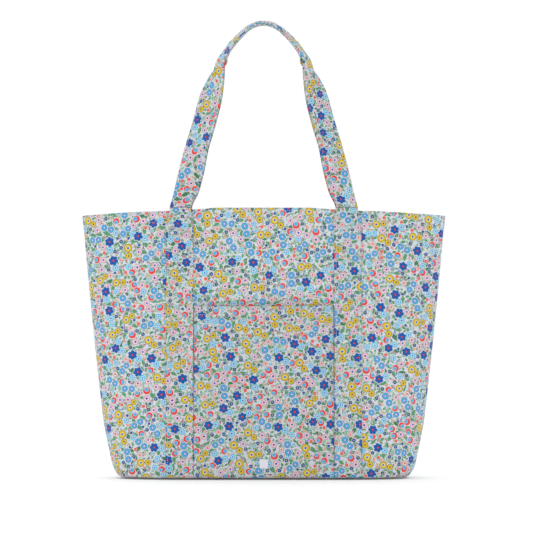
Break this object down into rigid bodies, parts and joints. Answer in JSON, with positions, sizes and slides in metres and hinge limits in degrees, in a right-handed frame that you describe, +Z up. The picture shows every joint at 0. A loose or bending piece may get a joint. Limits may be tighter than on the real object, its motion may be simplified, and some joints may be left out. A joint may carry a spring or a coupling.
{
  "type": "foldable tote bag",
  "caption": "Printed cloth tote bag with a boxed bottom, a front slip pocket and two long shoulder handles; its walls fold together flat.",
  "frame": {"origin": "on the floor, under the middle of the standing bag", "axes": "+X to the right seen from the front, +Y from the front panel to the back panel, +Z up through the mouth"},
  "size_m": [0.508, 0.1171, 0.6404],
  "materials": {
    "printed_cloth": "tightly woven lightweight polyester, off-white with a small multicoloured flower print, faint sheen",
    "printed_strap": "the same print on doubled cloth, edges topstitched",
    "seam_binding": "plain off-white bias binding",
    "thread": "off-white sewing thread",
    "label": "blank white soft tab",
    "zip_tape": "plain woven zip tape",
    "zip_teeth": "moulded nylon coil",
    "metal": "nickel-plated"
  },
  "bodies": {
    "base": {"bottom_panel": "printed_cloth", "left_side": "printed_cloth", "left_mouth_hem": "printed_cloth", "left_side_seam": "seam_binding", "left_end_seam": "seam_binding", "right_side": "printed_cloth", "right_mouth_hem": "printed_cloth", "right_side_seam": "seam_binding", "right_end_seam": "seam_binding"},
    "front_wall": {"front_panel": "printed_cloth", "front_mouth_hem": "printed_cloth", "front_foot_seam": "seam_binding", "front_strap_left": "printed_strap", "front_bar_tack_left": "thread", "front_strap_right": "printed_strap", "front_bar_tack_right": "thread", "front_pocket": "printed_cloth", "pocket_hem": "printed_cloth", "label_tab": "label", "popper_patch_front": "seam_binding", "popper_socket": "metal"},
    "back_wall": {"back_panel": "printed_cloth", "back_mouth_hem": "printed_cloth", "back_foot_seam": "seam_binding", "back_strap_left": "printed_strap", "back_bar_tack_left": "thread", "back_strap_right": "printed_strap", "back_bar_tack_right": "thread", "popper_patch_back": "seam_binding", "popper_stud": "metal", "stow_pouch": "printed_cloth", "zip_tape": "zip_tape", "zip_teeth": "zip_teeth"},
    "zip_slider": {"zip_slider": "metal"},
    "zip_pull": {"zip_pull": "metal"},
    "front_strap_bend": {"front_strap_bend_left": "printed_strap", "front_strap_bend_right": "printed_strap"},
    "front_handle": {"front_handle": "printed_strap", "front_grip_stitching": "thread"},
    "back_strap_bend": {"back_strap_bend_left": "printed_strap", "back_strap_bend_right": "printed_strap"},
    "back_handle": {"back_handle": "printed_strap", "back_grip_stitching": "thread"}
  },
  "joints": [
    {"name": "front_wall_fold", "type": "slide", "parent": "base", "child": "front_wall", "axis": [0, 1, 0], "range_m": [0, 0.024]},
    {"name": "back_wall_fold", "type": "slide", "parent": "base", "child": "back_wall", "axis": [0, -1, 0], "range_m": [0, 0.024]},
    {"name": "front_strap_lean", "type": "hinge", "parent": "front_wall", "child": "front_strap_bend", "pos_m": [0, -0.0313, 0.379], "axis": [1, 0, 0], "range_deg": [0, 7.36]},
    {"name": "front_handle_swing", "type": "hinge", "parent": "front_strap_bend", "child": "front_handle", "pos_m": [0, -0.03177, 0.39108], "axis": [1, 0, 0], "range_deg": [0, 160]},
    {"name": "back_strap_lean", "type": "hinge", "parent": "back_wall", "child": "back_strap_bend", "pos_m": [0, 0.0313, 0.379], "axis": [-1, 0, 0], "range_deg": [0, 7.36]},
    {"name": "back_handle_swing", "type": "hinge", "parent": "back_strap_bend", "child": "back_handle", "pos_m": [0, 0.03177, 0.39108], "axis": [-1, 0, 0], "range_deg": [0, 160]},
    {"name": "zip_slide", "type": "slide", "parent": "back_wall", "child": "zip_slider", "axis": [-1, 0, 0], "range_m": [0, 0.128]},
    {"name": "zip_pull_swing", "type": "hinge", "parent": "zip_slider", "child": "zip_pull", "pos_m": [0.064, 0.02, 0.3433], "axis": [0, 1, 0], "range_deg": [-75, 75]}
  ],
  "couplings": [
    {"joint": "back_wall_fold", "follows": "front_wall_fold", "ratio": 1},
    {"joint": "front_strap_lean", "follows": "front_wall_fold", "rad_per_m": 5.35},
    {"joint": "back_strap_lean", "follows": "front_wall_fold", "rad_per_m": 5.35}
  ]
}
